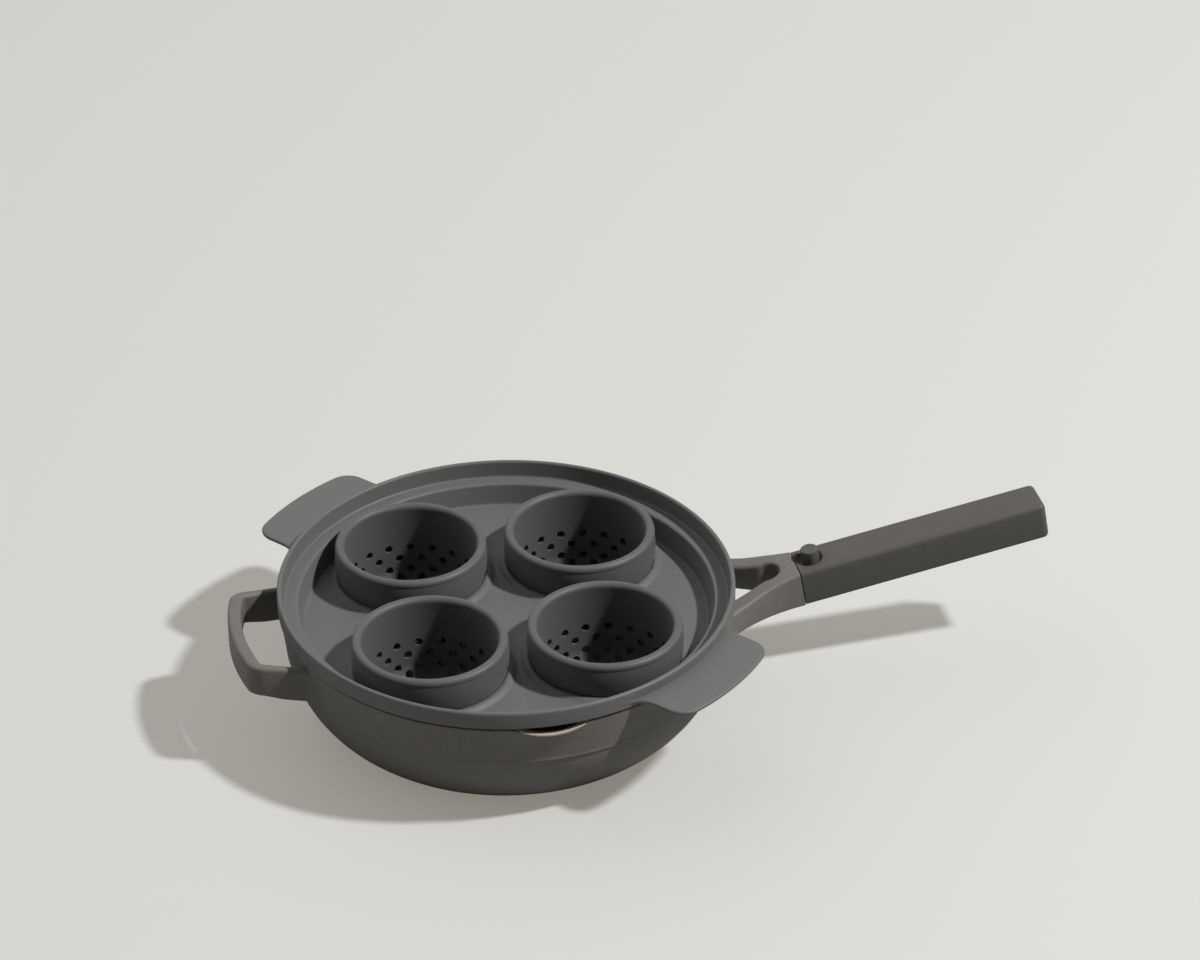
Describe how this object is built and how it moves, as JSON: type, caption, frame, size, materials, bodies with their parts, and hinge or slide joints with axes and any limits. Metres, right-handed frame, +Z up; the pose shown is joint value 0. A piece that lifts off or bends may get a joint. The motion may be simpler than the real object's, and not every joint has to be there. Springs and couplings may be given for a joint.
{
  "type": "egg poacher pan",
  "caption": "Round cast pan with a long handle and a helper loop, carrying a drop-in soft tray with lift-out perforated egg cups for poaching.",
  "frame": {"origin": "centre of the pan's flat base, on the surface it stands on", "axes": "+X along the long handle, +Z up out of the pan, +Y to the left when looking from the pan along the handle"},
  "size_m": [0.4942, 0.2888, 0.0937],
  "materials": {
    "cast_coating": "cast aluminium under a matte warm grey non-stick coat with a fine speckle",
    "light_lining": "light ceramic-type non-stick coat",
    "steel": "brushed",
    "grip_plastic": "matte warm grey",
    "tray_silicone": "matte grey silicone",
    "cup_silicone": "matte grey silicone"
  },
  "bodies": {
    "pan": {"pan_body": "cast_coating", "pan_lining": "light_lining", "base_disc": "steel", "helper_handle": "cast_coating", "handle_yoke": "cast_coating", "handle_tang": "steel", "handle_grip": "grip_plastic", "spoon_peg": "grip_plastic", "grip_screw": "steel"},
    "tray": {"poacher_tray": "tray_silicone"},
    "cup_1": {"egg_cup_1": "cup_silicone"},
    "cup_2": {"egg_cup_2": "cup_silicone"},
    "cup_3": {"egg_cup_3": "cup_silicone"},
    "cup_4": {"egg_cup_4": "cup_silicone"}
  },
  "joints": [
    {"name": "tray_lift", "type": "slide", "parent": "pan", "child": "tray", "axis": [0, 0, 1], "range_m": [0, 0.12]},
    {"name": "cup_1_lift", "type": "slide", "parent": "tray", "child": "cup_1", "axis": [0, 0, 1], "range_m": [0, 0.08]},
    {"name": "cup_2_lift", "type": "slide", "parent": "tray", "child": "cup_2", "axis": [0, 0, 1], "range_m": [0, 0.08]},
    {"name": "cup_3_lift", "type": "slide", "parent": "tray", "child": "cup_3", "axis": [0, 0, 1], "range_m": [0, 0.08]},
    {"name": "cup_4_lift", "type": "slide", "parent": "tray", "child": "cup_4", "axis": [0, 0, 1], "range_m": [0, 0.08]}
  ]
}
